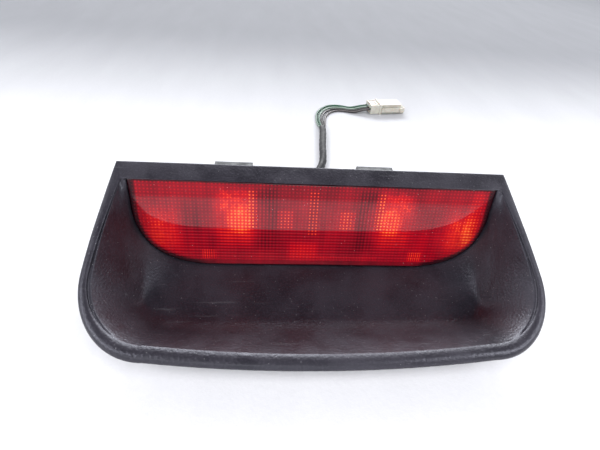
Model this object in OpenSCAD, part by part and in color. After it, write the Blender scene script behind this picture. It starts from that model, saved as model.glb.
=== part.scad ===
// Third brake light: hood cover, red lens, lamp housing with two bulbs, lead set and plug.
// Millimetres. +X right as seen from the lens side, -Y towards the viewer, +Z up.
// Origin: middle of the footprint on the surface the lamp stands on.

/* [Cover] */
// Overall width across the rim
cover_w = 250; // [200:1:300]
// Width of the rim at its straight top edge
cover_top_w = 241; // [190:1:290]
// Distance from the lip up to the top of the lens along the rim plane
reach = 104; // [80:1:130]
// Width of the flat strip above the lens
strip_w = 13; // [8:0.5:20]
// Slope of the rim plane above the surface
rim_tilt = 22.5; // [15:0.5:35]
// Thickness of the rim flange
rim_t = 4; // [2.5:0.5:6]
// Width of the rim band at the sides
band_w = 5; // [3:0.5:8]
// Width of the bead along the lip
bead_w = 8; // [5:0.5:12]
// Wall thickness of the bowl
wall_t = 3; // [2:0.5:4]

/* [Lens] */
// Lean of the lens away from the viewer
lens_tilt = 18; // [0:1:30]
// Half width of the lens at its top
lens_hw = 112.5; // [90:0.5:120]
// Height of the lens
lens_h = 56; // [40:1:70]
// Thickness of the lens plate
lens_t = 2.8; // [2:0.1:4]
// Number of flutes on the inner face
flutes = 44; // [20:1:60]

/* [Lamp] */
// Distance of each bulb from the middle
bulb_x = 52; // [40:1:70]
// Height of the bulbs above the lens bottom
bulb_z = 29; // [24:1:32]
// Depth of the housing behind the lens face
housing_d = 36; // [30:1:45]
// Radius of the bulb glass
bulb_r = 5; // [4:0.5:8]
// Radius of the socket body
socket_r = 9; // [8:0.5:11]
// Radius of the mounting bores in the rear bosses
boss_bore_r = 2.1; // [1.5:0.1:3]

/* [Clips] */
// Middle of the left clip
clip_x_left = -53; // [-80:1:-30]
// Middle of the right clip
clip_x_right = 39; // [30:1:80]
// Width of the spring clips
clip_w = 24; // [12:1:30]

/* [Leads and plug] */
// Diameter of each lead
wire_dia = 2.2; // [1.4:0.1:3]
// Diameter of the taped bundle
tape_d = 8; // [6:0.5:10]
// Length of the plug body
plug_l = 44; // [30:1:50]
// Turn of the plug about the vertical
plug_turn = 10; // [-30:1:60]

/* [Hidden] */
$fn = 48;
y_off = 9.5;
z_off = 4;
rim_s = reach + strip_w;
wall_y = housing_d;
screw_at = [[107, 9], [119, 46]];
plug_at = [86, 265];
red = [0.55, 0.02, 0.03];
black = [0.06, 0.06, 0.07];
ivory = [0.9, 0.88, 0.8];

// routes in the frame of the object: sockets to tape, tape, tape to plug
lead_a = [[-55, 66.1, 16.1], [-55, 73.6, 13.6], [-54, 80, 9.5], [-51, 86, 5], [-44, 90, 1.6],
    [-30, 92, 1.1], [-15, 92.2, 1.1], [-3.5, 93.2, 1.1], [2.6, 96.8, 1.8], [4.7, 102, 2.7]];
lead_b = [[-49, 66.1, 16.1], [-49, 73.6, 13.6], [-48, 79, 9.5], [-45, 84, 5], [-38, 87.2, 1.6],
    [-26, 88.5, 1.1], [-12, 88.6, 1.1], [-1.5, 89.8, 2.2], [3.6, 94.6, 4.6], [4.7, 102, 5.3]];
lead_c = [[49, 66.1, 16.1], [49, 73.6, 13.6], [49, 79, 9.5], [46, 84.5, 5], [39, 88, 1.6],
    [28, 88.8, 1.1], [19, 89.2, 1.1], [11.5, 91, 2.2], [8, 95.2, 4.6], [7.3, 102, 5.3]];
lead_d = [[55, 66.1, 16.1], [55, 73.6, 13.6], [55, 80, 9.5], [52, 86.5, 5], [45, 90.8, 1.6],
    [32, 92.2, 1.1], [21, 92.6, 1.1], [13.5, 94, 1.1], [9, 97.2, 1.8], [7.3, 102, 2.7]];
tape_path = [[6, 102, 4], [9, 114, 4], [14, 126, 4], [18.5, 139, 4], [20.5, 153, 4],
    [21.5, 168, 4], [23, 183, 4], [24.5, 197, 4], [25, 210, 4]];
wire_a = [[23.7, 210, 2.7], [21.5, 222, 1.4], [21, 236, 1.1], [23, 251, 1.1], [29.5, 265, 1.1],
    [40, 274.5, 1.1], [53, 275.5, 1.1], [65, 270.5, 2.1], [77, 269.6, 5.1], [84.96, 270.91, 6]];
wire_b = [[23.7, 210, 5.3], [23.3, 223, 3], [23.6, 236, 1.4], [26, 249, 1.1], [32, 261.5, 1.1],
    [42, 269.5, 1.1], [54, 270.5, 1.1], [66, 266, 2.1], [77.7, 265.6, 5.1], [85.65, 266.97, 6]];
wire_c = [[26.3, 210, 5.3], [26.5, 223, 3], [27, 236, 1.4], [29.3, 247.5, 1.1], [35, 258, 1.1],
    [44, 265, 1.1], [55, 265.8, 1.1], [66.8, 261.8, 2.1], [78.4, 261.6, 5.1], [86.35, 263.03, 6]];
wire_d = [[26.3, 210, 2.7], [29, 222, 1.4], [30.5, 234, 1.1], [33, 245, 1.1], [38.5, 254.5, 1.1],
    [46.5, 260.5, 1.1], [56, 261.2, 1.1], [67.5, 257.6, 2.1], [79.1, 257.7, 5.1], [87.04, 259.09, 6]];

// ---- frames ----

module stand_frame() translate([0, y_off, z_off]) children();

// lens plane: x across, z up the lens, y into the lamp
module lens_frame() stand_frame() rotate([-lens_tilt, 0, 0]) children();

// rim plane: y up the slope from the lip, z outwards
module rim_frame()
    stand_frame()
    translate([0, lens_h * sin(lens_tilt), lens_h * cos(lens_tilt)])
    rotate([rim_tilt, 0, 0])
    translate([0, -reach, 0]) children();

module plug_frame() translate([plug_at[0], plug_at[1], 0]) rotate([0, 0, plug_turn]) children();

module bulb_frame(x) lens_frame() translate([x, 0, bulb_z]) rotate([-90, 0, 0]) children();

// ---- outlines ----

function mirrored(h) = concat(h, [for (i = [len(h) - 2 : -1 : 0]) [-h[i][0], h[i][1]]]);

// rim outline from the top corner round to the middle of the lip
function rim_half(side, low, top) = let (w = cover_w / 2, t0 = cover_top_w / 2) concat(
    [for (t = [0 : 0.25 : 0.75]) [t0 + (w - t0) * sin(90 * t) - side, top + (48 - top) * t]],
    [for (a = [0 : 9 : 81]) [w - 37.5 + (37.5 - side) * cos(a), 48 - (43.6 - low) * sin(a)]],
    [for (x = [w - 37.5 : -(w - 37.5) / 7 : 1]) [x, low + 4.4 * pow(x / (w - 37.5), 2)]],
    [[0, low]]);

module rim_shape(side, low, top) polygon(mirrored(rim_half(side, low, top)));

// lens outline, grown by g
function lens_half(g) = let (s = (lens_h + 2 * g) / lens_h) concat(
    [[lens_hw + g, lens_h + g], [lens_hw - 0.5 + g, -g + 38 * s]],
    [for (a = [10 : 10 : 80])
        [49.5 + (lens_hw - 50 + g) * pow(cos(a), 0.6), -g + 38 * s * (1 - sin(a))]],
    [[49.5, -g], [0, -g]]);

module lens_prism(g, y0, y1)
    translate([0, y1, 0]) rotate([90, 0, 0]) linear_extrude(y1 - y0) polygon(mirrored(lens_half(g)));

// floor of the bowl, grown by g
module floor_shape(g) polygon(mirrored([[0, 2 - g], [50 + g, 0], [78 + g, -9], [93 + g, -18],
    [100 + g, -25], [102 + g, -31], [100 + g, -37 - g / 2], [94 + g / 2, -41.5 - g],
    [84, -44 - g], [40, -45.6 - g], [0, -46 - g]]));

// everything on the outer side of the rim plane
module above_rim(z0) rim_frame() translate([-150, -60, z0]) cube([300, 240, 60]);

module below_floor(z) translate([-150, -150, z - 20]) cube([300, 300, 20]);

// ---- cover ----

module bowl_space() hull() {
    rim_frame() translate([0, 0, -1.2]) linear_extrude(6) rim_shape(band_w, bead_w, reach);
    lens_frame() lens_prism(0, -0.6, 0);
    stand_frame() linear_extrude(0.4) floor_shape(0);
}

module bowl_body() hull() {
    rim_frame() translate([0, 0, -3.5]) linear_extrude(1)
        rim_shape(band_w - wall_t, bead_w - wall_t, reach + 2);
    lens_frame() lens_prism(wall_t, -1, 0.5);
    translate([0, y_off, 0]) linear_extrude(0.5) floor_shape(wall_t);
}

module rim_flange() rim_frame() hull() {
    translate([0, 0, -0.1]) linear_extrude(0.1) rim_shape(1.4, 2.6, rim_s - 0.5);
    translate([0, 0, -0.8]) linear_extrude(0.2) rim_shape(0.4, 1, rim_s);
    translate([0, 0, -rim_t]) linear_extrude(rim_t - 2) rim_shape(0, 0, rim_s);
}

module cover_boss(x, z) lens_frame() translate([x, 1, z]) rotate([-90, 0, 0])
    cylinder(h = 14, r = 3.6);

module clip_blade(x) stand_frame() {
    translate([x - clip_w / 2 + 2, 27, 49.2]) cube([clip_w - 4, 14.2, 1.8]);
    for (e = [-1, 1]) translate([x + e * (clip_w / 2 - 3) - 1, 26.5, 50]) cube([2, 7, 6]);
}

module hood_cover() color(black) difference() {
    union() {
        rim_flange();
        difference() {
            bowl_body();
            above_rim(-1);
        }
        difference() {
            lens_frame() {
                lens_prism(5, -0.5, 2.5);
                for (e = [-1, 1]) translate([e * 116 - 5, 0, 38]) cube([10, 2.3, 14]);
            }
            above_rim(-1.5);
            below_floor(0.3);
        }
        for (e = [-1, 1], p = screw_at) cover_boss(e * p[0], p[1]);
        stand_frame() translate([-cover_top_w / 2 + 2, 26.3, 49]) cube([cover_top_w - 4, 2.4, 8]);
        clip_blade(clip_x_left);
        clip_blade(clip_x_right);
    }
    bowl_space();
    lens_frame() {
        lens_prism(0.4, -1, 16);
        // rebate for the flange of the lens
        difference() {
            lens_prism(2.8, 2.6, 6.5);
            translate([-150, 0, 52.4]) cube([300, 10, 20]);
        }
    }
    for (e = [-1, 1], p = screw_at) lens_frame()
        translate([e * p[0], 4, p[1]]) rotate([-90, 0, 0]) cylinder(h = 12, r = 1.75);
}

// ---- lens and seal ----

module flute_profile() {
    pitch = 2 * (lens_hw - 4) / flutes;
    polygon(concat([[-lens_hw + 4, 0]],
        [for (i = [0 : flutes - 1]) each [[-lens_hw + 4 + i * pitch, 0.3],
            [-lens_hw + 4 + (i + 0.5) * pitch, 1.2]]],
        [[lens_hw - 4, 0.3], [lens_hw - 4, 0]]));
}

module lens() color(red) difference() {
    lens_frame() {
        lens_prism(0, 0.5, 0.5 + lens_t);
        intersection() {
            lens_prism(-3, 3, 5);
            translate([0, 0.4 + lens_t, -5]) linear_extrude(70) flute_profile();
        }
        difference() {
            lens_prism(2.4, 2.8, 4.8);
            lens_prism(-2, 2, 6);
            translate([-150, 0, 52]) cube([300, 10, 20]);
        }
    }
    below_floor(0.1);
}

module lens_seal() color([0.12, 0.12, 0.12]) difference() {
    lens_frame() difference() {
        lens_prism(2.2, 4.8, 6.1);
        lens_prism(-1.8, 4, 7);
        translate([-150, 0, 52]) cube([300, 10, 20]);
    }
    below_floor(0.1);
}

// ---- housing ----

module side_profile(inset) translate([-150, 0, 0]) rotate([90, 0, 90]) linear_extrude(300)
    polygon([[5, -4 + inset], [8, inset], [housing_d - inset, 12 + inset],
        [housing_d - inset, 46 - inset], [8, 56 - inset], [5, 60]]);

module housing_ear(x, z, inner) hull() {
    translate([x, 15, z]) rotate([-90, 0, 0]) cylinder(h = 2.5, r = 3.8);
    translate([inner, 15, z - 3.8]) cube([1, 2.5, 7.6]);
}

module lug_ring(r, w, h) for (a = [0, 120, 240]) rotate([0, 0, a])
    translate([0, -w / 2, 0]) cube([r, w, h]);

module lamp_housing() color([0.62, 0.63, 0.64]) difference() {
    union() {
        lens_frame() difference() {
            union() {
                intersection() {
                    lens_prism(0, 6.1, housing_d + 1);
                    side_profile(0);
                }
                difference() {
                    lens_prism(2.4, 6.1, 8.1);
                    translate([-150, 0, 52]) cube([300, 10, 20]);
                }
                for (e = [-1, 1]) {
                    housing_ear(e * 107, 9, e > 0 ? 96 : -97);
                    housing_ear(e * 119, 46, e > 0 ? 110 : -111);
                    translate([e * 85, wall_y - 1, bulb_z]) rotate([-90, 0, 0])
                        cylinder(h = 11, r = 5);
                }
            }
            intersection() {
                lens_prism(-2, 5, housing_d + 1);
                side_profile(2);
            }
            for (e = [-1, 1], p = screw_at)
                translate([e * p[0], 10, p[1]]) rotate([-90, 0, 0]) cylinder(h = 10, r = 1.9);
            for (e = [-1, 1]) translate([e * 85, wall_y + 1, bulb_z]) rotate([-90, 0, 0])
                cylinder(h = 12, r = boss_bore_r);
        }
        // feet under the slanted bottom
        for (e = [-1, 1]) stand_frame() translate([e * 60 - 1.5, 0, 0]) rotate([90, 0, 90])
            linear_extrude(3) polygon([[12, -4], [34, -4], [34, 1.6], [12, -1.2]]);
    }
    below_floor(0);
    for (x = [-bulb_x, bulb_x]) bulb_frame(x) translate([0, 0, wall_y - 4]) {
        cylinder(h = 6, r = socket_r + 0.4);
        rotate([0, 0, 45]) lug_ring(socket_r + 2.4, 6, 6);
    }
}

module reflector(x) bulb_frame(x) rotate_extrude()
    polygon(concat(
        [for (i = [0 : 6]) [12.2 + i * 1.1, 33.9 - 0.36 * i * i - i * 0.7]],
        [for (i = [6 : -1 : 0]) [13.4 + i * 1.1, 33.9 - 0.36 * i * i - i * 0.7]]));

module reflector_left() color([0.8, 0.8, 0.82]) reflector(-bulb_x);
module reflector_right() color([0.8, 0.8, 0.82]) reflector(bulb_x);

// ---- bulbs ----

module glass(x) bulb_frame(x) {
    difference() {
        rotate_extrude() polygon(concat([[0, 10]],
            [for (a = [80 : -10 : 0]) [bulb_r * cos(a), 15 - 5 * sin(a)]], [[bulb_r, 26],
            [4, 27.4], [0, 27.4]]));
        rotate_extrude() polygon(concat([[0, 10.8]],
            [for (a = [80 : -10 : 0]) [(bulb_r - 0.8) * cos(a), 15 - 4.2 * sin(a)]],
            [[bulb_r - 0.8, 25.4], [0, 25.4]]));
    }
    translate([-4.7, -1.2, 27]) cube([9.4, 2.4, 8.5]);
}

module bulb_glass_left() color([0.9, 0.92, 0.95, 0.4]) glass(-bulb_x);
module bulb_glass_right() color([0.9, 0.92, 0.95, 0.4]) glass(bulb_x);

module filament(x) bulb_frame(x) {
    for (e = [-1, 1]) translate([e * 2.4, 0, 15]) cylinder(h = 10.4, r = 0.3, $fn = 16);
    translate([-2.6, 0, 15]) rotate([0, 90, 0]) cylinder(h = 5.2, r = 0.4, $fn = 16);
}

module filament_left() color([0.75, 0.74, 0.7]) filament(-bulb_x);
module filament_right() color([0.75, 0.74, 0.7]) filament(bulb_x);

module bulb_wires(x) bulb_frame(x) for (e = [-1, 1])
    translate([e * 3, e * 1.45, 28]) cylinder(h = 7, r = 0.25, $fn = 16);

module bulb_wires_left() color([0.75, 0.74, 0.7]) bulb_wires(-bulb_x);
module bulb_wires_right() color([0.75, 0.74, 0.7]) bulb_wires(bulb_x);

// ---- sockets ----

module socket(x) bulb_frame(x) difference() {
    union() {
        translate([0, 0, 27.5]) cylinder(h = 10, r = socket_r);
        translate([0, 0, 37.2]) cylinder(h = 2.4, r = socket_r + 3.5);
        translate([0, 0, 39]) cylinder(h = 11, r = 8);
        translate([-11, -1.6, 39]) cube([22, 3.2, 8]);
        translate([0, 0, wall_y - 4.2]) lug_ring(socket_r + 1.8, 5, 2);
    }
    translate([-4.9, -2.2, 26]) cube([9.8, 4.4, 10.5]);
    for (e = [-1, 1]) translate([e * 3, 0, 35]) cylinder(h = 16, r = 1.2, $fn = 24);
}

module socket_left() color([0.2, 0.2, 0.21]) socket(-bulb_x);
module socket_right() color([0.2, 0.2, 0.21]) socket(bulb_x);

module socket_seal(x) bulb_frame(x) rotate_extrude()
    translate([socket_r + 0.05, 36.1]) square([2.6, 1.1]);

module socket_seal_left() color([0.1, 0.1, 0.1]) socket_seal(-bulb_x);
module socket_seal_right() color([0.1, 0.1, 0.1]) socket_seal(bulb_x);

module contacts(x) bulb_frame(x) for (e = [-1, 1]) {
    translate([e * 3 - 1, e > 0 ? 1.72 : -2.15, 29]) cube([2, 0.43, 7.5]);
    translate([e * 3 - 0.5, e > 0 ? 0 : -2.15, 36.1]) cube([1, 2.15, 0.4]);
    translate([e * 3, 0, 36.1]) cylinder(h = 13.9, r = 0.9, $fn = 24);
}

module socket_contacts_left() color([0.8, 0.62, 0.25]) contacts(-bulb_x);
module socket_contacts_right() color([0.8, 0.62, 0.25]) contacts(bulb_x);

// ---- clips ----

module clip(x) stand_frame() translate([x - clip_w / 2, 0, 0]) rotate([90, 0, 90])
    linear_extrude(clip_w) polygon([[34, 51.05], [41.3, 51.05], [41.3, 49.15], [33, 49.15],
        [33, 48.35], [42.1, 48.35], [42.1, 51.85], [34, 51.85]]);

module retaining_clip_left() color([0.7, 0.71, 0.72]) clip(clip_x_left);
module retaining_clip_right() color([0.7, 0.71, 0.72]) clip(clip_x_right);

module tongue(x) stand_frame() translate([x - 5, 0, 0]) rotate([90, 0, 90]) {
    linear_extrude(10) polygon([[41.8, 48.15], [41.2, 48.15], [33.4, 46], [33.6, 45.3], [41.8, 47.4]]);
    translate([41.8, 47.8, 0]) cylinder(h = 10, r = 0.4);
}

module clip_tongue_left() color([0.7, 0.71, 0.72]) tongue(clip_x_left);
module clip_tongue_right() color([0.7, 0.71, 0.72]) tongue(clip_x_right);

// ---- screws ----

module screw() {
    cylinder(h = 11, r = 1.7);
    translate([0, 0, 11]) difference() {
        cylinder(h = 2.2, r = 3.2);
        translate([-2, -0.4, 1]) cube([4, 0.8, 2]);
        translate([-0.4, -2, 1]) cube([0.8, 4, 2]);
    }
}

module housing_screws() color([0.75, 0.72, 0.6]) lens_frame()
    for (e = [-1, 1], p = screw_at) translate([e * p[0], 6.5, p[1]]) rotate([-90, 0, 0]) screw();

// ---- leads ----

function unit(v) = v / norm(v);
function heading(p, i) = unit(p[min(i + 1, len(p) - 1)] - p[max(i - 1, 0)]);
function ring(c, t, r, n) = let (s = unit(cross(t, [0, 0, 1])), u = cross(s, t))
    [for (k = [0 : n - 1]) c + r * (cos(360 * k / n) * s + sin(360 * k / n) * u)];

module tube(p, d, n) polyhedron(
    points = [for (i = [0 : len(p) - 1]) each ring(p[i], heading(p, i), d / 2, n)],
    faces = concat([[for (k = [0 : n - 1]) k]],
        [for (i = [0 : len(p) - 2], k = [0 : n - 1]) let (a = i * n, b = a + n, m = (k + 1) % n)
            each [[a + k, b + k, b + m], [a + k, b + m, a + m]]],
        [[for (k = [n - 1 : -1 : 0]) (len(p) - 1) * n + k]]));

module lead_left_green() color([0.1, 0.4, 0.25]) tube(lead_a, wire_dia, 8);
module lead_left_black() color(black) tube(lead_b, wire_dia, 8);
module lead_right_green() color([0.1, 0.4, 0.25]) tube(lead_c, wire_dia, 8);
module lead_right_black() color(black) tube(lead_d, wire_dia, 8);
module harness_tape() color(black) tube(tape_path, tape_d, 12);
module plug_wire_green_1() color([0.1, 0.4, 0.25]) tube(wire_a, wire_dia, 8);
module plug_wire_green_2() color([0.1, 0.4, 0.25]) tube(wire_b, wire_dia, 8);
module plug_wire_black_1() color(black) tube(wire_c, wire_dia, 8);
module plug_wire_black_2() color(black) tube(wire_d, wire_dia, 8);

// ---- plug ----

module plug_housing() color(ivory) plug_frame() difference() {
    union() {
        translate([0, -8.5, 1]) cube([11, 17, 10]);
        translate([11, -9.5, 0]) cube([2.5, 19, 12]);
        translate([13.4, -8, 0.5]) cube([plug_l - 13.4, 16, 11]);
        translate([13.4, -11.2, 3.5]) cube([2.4, 3.3, 5]);
    }
    for (y = [-6, -2, 2, 6]) translate([-1, y - 1.3, 4.7]) cube([plug_l + 2, 2.6, 2.6]);
    for (e = [-1, 1]) translate([1.5, e * 6.4 - 0.9, 8.5]) cube([8, 1.8, 4]);
    translate([-1, -2.6, 9.4]) cube([9, 5.2, 3]);
    translate([plug_l - 6, -9, 9.6]) rotate([0, 20, 0]) cube([9, 18, 5]);
}

module plug_latch() color(ivory) plug_frame() {
    translate([16.6, -10.5, 3.5]) cylinder(h = 5, r = 0.7);
    translate([16.6, -11.2, 3.5]) cube([25.4, 1.4, 5]);
    translate([36, -12.2, 3.5]) cube([3, 1.1, 5]);
}

module plug_wire_lock() color([0.85, 0.7, 0.66]) plug_frame()
    translate([0.6, -2.5, 9.45]) cube([6.4, 5, 1.5]);

module plug_terminals() color([0.8, 0.62, 0.25]) plug_frame()
    for (y = [-6, -2, 2, 6]) translate([3, y - 1.1, 4.9]) difference() {
        cube([36, 2.2, 2.2]);
        translate([20, 0.4, 0.4]) cube([17, 1.4, 1.4]);
    }

hood_cover();
lens();
lens_seal();
lamp_housing();
reflector_left();
reflector_right();
bulb_glass_left();
bulb_glass_right();
filament_left();
filament_right();
bulb_wires_left();
bulb_wires_right();
socket_left();
socket_right();
socket_seal_left();
socket_seal_right();
socket_contacts_left();
socket_contacts_right();
retaining_clip_left();
retaining_clip_right();
clip_tongue_left();
clip_tongue_right();
housing_screws();
lead_left_green();
lead_left_black();
lead_right_green();
lead_right_black();
harness_tape();
plug_wire_green_1();
plug_wire_green_2();
plug_wire_black_1();
plug_wire_black_2();
plug_housing();
plug_latch();
plug_wire_lock();
plug_terminals();
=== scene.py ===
"""Third brake light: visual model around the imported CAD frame.

Lengths below are in millimetres and are turned into metres by V().
"""
import math

import bpy
import numpy as np
from mathutils import Matrix, Vector


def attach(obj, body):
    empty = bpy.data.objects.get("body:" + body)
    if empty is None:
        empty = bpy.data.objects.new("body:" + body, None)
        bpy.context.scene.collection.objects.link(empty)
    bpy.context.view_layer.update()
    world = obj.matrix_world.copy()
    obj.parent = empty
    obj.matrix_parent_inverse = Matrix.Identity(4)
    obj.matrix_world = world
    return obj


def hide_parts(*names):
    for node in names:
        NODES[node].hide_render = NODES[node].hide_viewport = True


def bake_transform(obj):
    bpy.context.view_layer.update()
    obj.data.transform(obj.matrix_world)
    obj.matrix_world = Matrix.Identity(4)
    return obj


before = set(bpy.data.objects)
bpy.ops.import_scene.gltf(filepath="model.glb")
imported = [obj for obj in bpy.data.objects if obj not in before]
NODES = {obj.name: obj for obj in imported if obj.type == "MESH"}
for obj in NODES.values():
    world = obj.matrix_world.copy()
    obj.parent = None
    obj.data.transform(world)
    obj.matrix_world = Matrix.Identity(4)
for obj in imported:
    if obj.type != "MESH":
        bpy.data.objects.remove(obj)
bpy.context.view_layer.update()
MM = 0.001


# ---------------------------------------------------------------- frames

LEAN = math.radians(18)  # lens leans back
TILT = math.radians(22.5)  # slope of the rim plane
STAND = np.array([0, 9.5, 4.0])  # shape frame in the object frame
CL, SL = math.cos(LEAN), math.sin(LEAN)
CT, ST = math.cos(TILT), math.sin(TILT)
LENS_H = 56.0  # height of the lens, measured up its face
REACH = 104.0  # rim plane from the lip to the top edge of the lens
RIM0 = np.array([0, LENS_H * SL - REACH * CT, LENS_H * CL - REACH * ST])  # lip, middle
MIRROR = np.array([-1, 1, 1])  # right half to left half


def lens_pt(x, y, z):
    """Point of the lens frame: x across, y into the lamp, z up the lens."""
    return np.array([x, y * CL + z * SL, z * CL - y * SL])


def rim_pt(x, s, n):
    """Point of the rim frame: s up the slope from the lip, n outwards."""
    return RIM0 + np.array([x, s * CT - n * ST, s * ST + n * CT])


def V(p):
    """Shape frame in millimetres to the object frame in metres."""
    return Vector((np.asarray(p, float) + STAND) * MM)


# ---------------------------------------------------------------- camera

cam = bpy.data.objects.new("camera", bpy.data.cameras.new("camera"))
bpy.context.collection.objects.link(cam)
bpy.context.scene.camera = cam
cam.data.lens = 21.75
cam.data.sensor_width = 36
cam.location = (-0.0292, -0.1513, 0.1828)
turn = Matrix.Rotation(math.radians(-6.35), 3, "Z") @ Matrix.Rotation(math.radians(48.6), 3, "X")
turn = turn @ Matrix.Rotation(math.radians(5.5), 3, "Z")
cam.rotation_euler = turn.to_euler()


# ---------------------------------------------------------------- mesh helpers

def link(ob):
    bpy.context.collection.objects.link(ob)
    return ob


def mesh_object(name, verts, faces, mat, smooth=True, uvs=None):
    """Linked object with one material; uvs holds one pair per vertex."""
    me = bpy.data.meshes.new(name)
    me.from_pydata([tuple(v) for v in verts], [], [tuple(f) for f in faces])
    me.validate()
    if uvs is not None:
        layer = me.uv_layers.new(name="UVMap")
        for poly in me.polygons:
            for li in poly.loop_indices:
                layer.data[li].uv = uvs[me.loops[li].vertex_index]
    for p in me.polygons:
        p.use_smooth = smooth
    me.materials.append(mat)
    return link(bpy.data.objects.new(name, me))


def finish_piece(ob, body, slot, *nodes):
    """Puts a piece on its body, in place of the named CAD nodes; the slot argument is not used."""
    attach(ob, body)
    if nodes:
        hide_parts(*nodes)
    return ob


def spline(points, step):
    """Points along a centripetal Catmull-Rom curve through points, about step apart."""
    p = [np.array(q, float) for q in points]
    p = [2 * p[0] - p[1]] + p + [2 * p[-1] - p[-2]]
    out = []
    for i in range(1, len(p) - 2):
        p0, p1, p2, p3 = p[i - 1 : i + 3]
        t = [0.0]
        for a, b in ((p0, p1), (p1, p2), (p2, p3)):
            t.append(t[-1] + max(np.linalg.norm(b - a), 1e-6) ** 0.5)
        n = max(2, int(np.linalg.norm(p2 - p1) / step))
        for k in range(n):
            u = t[1] + (t[2] - t[1]) * k / n
            a1 = (t[1] - u) / (t[1] - t[0]) * p0 + (u - t[0]) / (t[1] - t[0]) * p1
            a2 = (t[2] - u) / (t[2] - t[1]) * p1 + (u - t[1]) / (t[2] - t[1]) * p2
            a3 = (t[3] - u) / (t[3] - t[2]) * p2 + (u - t[2]) / (t[3] - t[2]) * p3
            b1 = (t[2] - u) / (t[2] - t[0]) * a1 + (u - t[0]) / (t[2] - t[0]) * a2
            b2 = (t[3] - u) / (t[3] - t[1]) * a2 + (u - t[1]) / (t[3] - t[1]) * a3
            out.append((t[2] - u) / (t[2] - t[1]) * b1 + (u - t[1]) / (t[2] - t[1]) * b2)
    out.append(p[-2])
    return np.array(out)


def tube_mesh(name, path, radius, mat, sides=20):
    """Closed tube along path; radius is a number or a function of (length so far, angle)."""
    n = len(path)
    tan = np.gradient(path, axis=0)
    tan /= np.linalg.norm(tan, axis=1)[:, None]
    up = np.array([0, 0, 1.0])
    side = np.cross(tan[0], up)
    side /= np.linalg.norm(side)
    length = np.concatenate([[0], np.cumsum(np.linalg.norm(np.diff(path, axis=0), axis=1))])
    verts, uvs = [], []
    for i in range(n):
        side = side - tan[i] * side.dot(tan[i])
        side /= np.linalg.norm(side)
        top = np.cross(side, tan[i])
        for k in range(sides):
            a = 2 * math.pi * k / sides
            r = radius(length[i], a) if callable(radius) else radius
            verts.append(path[i] + r * (math.cos(a) * side + math.sin(a) * top))
            uvs.append((length[i], k / sides))
    faces = [(i * sides + k, i * sides + (k + 1) % sides, (i + 1) * sides + (k + 1) % sides,
              (i + 1) * sides + k) for i in range(n - 1) for k in range(sides)]
    faces.append(tuple(reversed(range(sides))))
    faces.append(tuple((n - 1) * sides + k for k in range(sides)))
    return mesh_object(name, verts, faces, mat, uvs=uvs)


# ---------------------------------------------------------------- material helpers

class Nodes:
    """Short way to write a node tree; arguments are numbers, tuples or sockets."""

    def __init__(self, name):
        self.mat = bpy.data.materials.new(name)
        self.mat.use_nodes = True
        self.tree = self.mat.node_tree
        self.bsdf = self.tree.nodes["Principled BSDF"]
        self.coord = self.tree.nodes.new("ShaderNodeTexCoord")

    def put(self, socket, value):
        if isinstance(value, bpy.types.NodeSocket):
            self.tree.links.new(value, socket)
        elif isinstance(value, (tuple, list)) and len(value) == 3 and socket.type == "RGBA":
            socket.default_value = (*value, 1)
        else:
            socket.default_value = value

    def add(self, kind, out=0, props=None, **inputs):
        """New node; inputs go by name, with _ for a space, or by index as i0, i1, i2."""
        node = self.tree.nodes.new("ShaderNode" + kind)
        for key, value in (props or {}).items():
            setattr(node, key, value)
        for key, value in inputs.items():
            key = key.replace("_", " ")
            self.put(node.inputs[int(key[1:]) if key[0] == "i" and key[1:].isdigit()
                                 else key], value)
        return node.outputs[out]

    def math(self, op, a, b=0.0, c=0.0):
        return self.add("Math", props={"operation": op}, i0=a, i1=b, i2=c)

    def ramp(self, value, low, high, to_low=0.0, to_high=1.0):
        """Smooth step from to_low to to_high while value goes from low to high."""
        return self.add("MapRange", props={"interpolation_type": "SMOOTHSTEP"}, Value=value,
                        From_Min=low, From_Max=high, To_Min=to_low, To_Max=to_high)

    def mix(self, factor, a, b, mode="MIX"):
        node = self.tree.nodes.new("ShaderNodeMix")
        node.data_type, node.blend_type = "RGBA", mode
        for index, value in ((0, factor), (6, a), (7, b)):
            self.put(node.inputs[index], value)
        return node.outputs[2]

    def noise(self, scale, detail=3.0, rough=0.5, vector=None, out=0):
        return self.add("TexNoise", out=out, Scale=scale, Detail=detail, Roughness=rough,
                        Vector=vector or self.coord.outputs["Object"])

    def specks(self, scale, size, vector=None):
        """1 inside small round dots scattered at about scale per metre, 0 elsewhere."""
        d = self.add("TexVoronoi", Scale=scale, Randomness=1.0,
                     Vector=vector or self.coord.outputs["Object"])
        return self.ramp(d, size, size * 0.5)

    def bump(self, height, strength, distance):
        return self.add("Bump", Height=height, Strength=strength, Distance=distance)

    def finish(self, color=None, rough=None, normal=None, **fixed):
        for key, value in (("Base Color", color), ("Roughness", rough), ("Normal", normal)):
            if value is not None:
                self.put(self.bsdf.inputs[key], value)
        for key, value in fixed.items():
            self.put(self.bsdf.inputs[key.replace("_", " ")], value)
        return self.mat


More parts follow.
